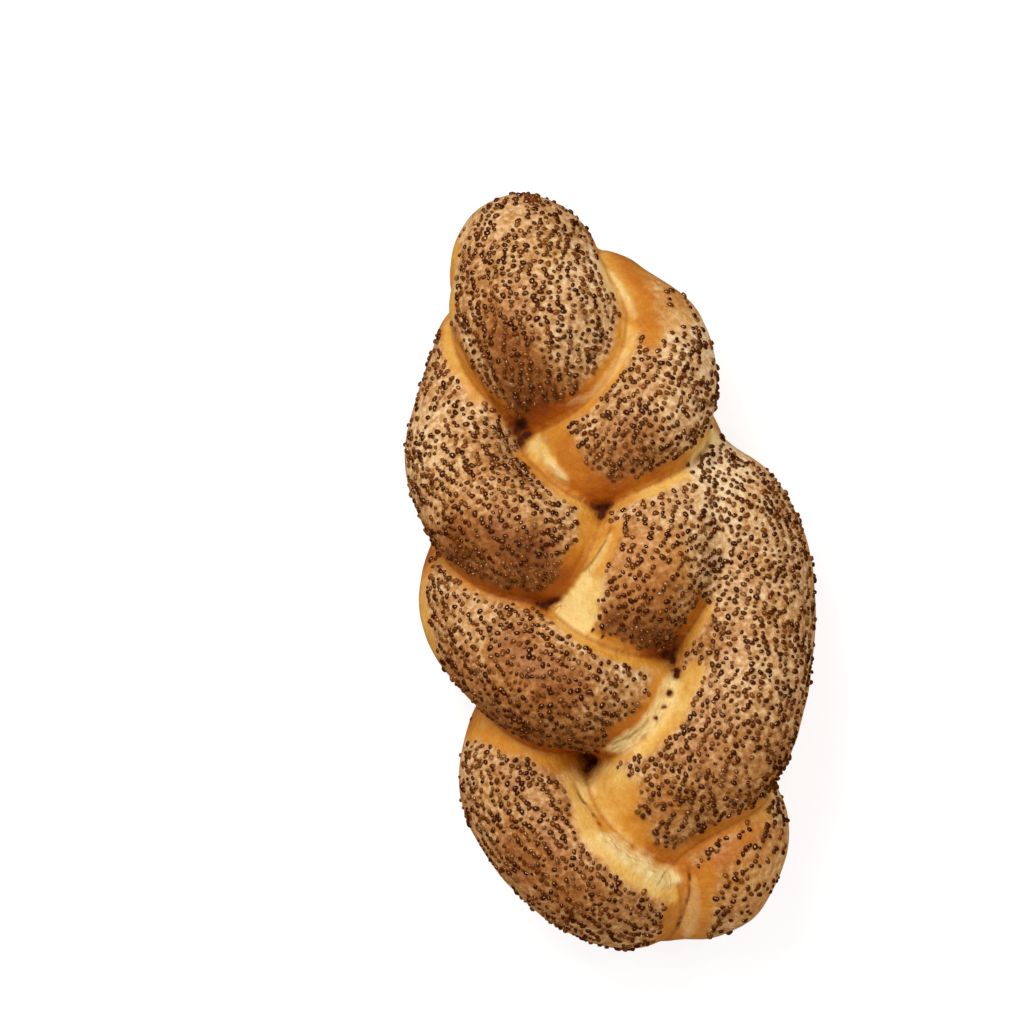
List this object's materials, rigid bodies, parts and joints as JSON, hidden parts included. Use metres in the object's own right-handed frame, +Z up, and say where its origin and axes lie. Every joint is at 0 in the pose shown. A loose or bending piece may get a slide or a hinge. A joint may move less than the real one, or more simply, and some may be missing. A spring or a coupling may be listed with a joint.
{
  "type": "poppy seed braided roll",
  "caption": "Long bread roll of plaited dough strands with a browned crust strewn with poppy seeds and a flat base to rest on.",
  "frame": {"origin": "on the surface the roll lies on, under the middle of its length and width", "axes": "+Y along the length towards the top end, +X to the right seen from above, +Z up"},
  "size_m": [0.0774, 0.1499, 0.0417],
  "materials": {
    "crust": "baked crust, golden in the creases and brown on the crests, with a slight egg-wash sheen",
    "poppy_seeds": "dark slate and brown-black seeds with a dull sheen"
  },
  "bodies": {
    "root": {"braided_roll": "crust"}
  },
  "joints": []
}
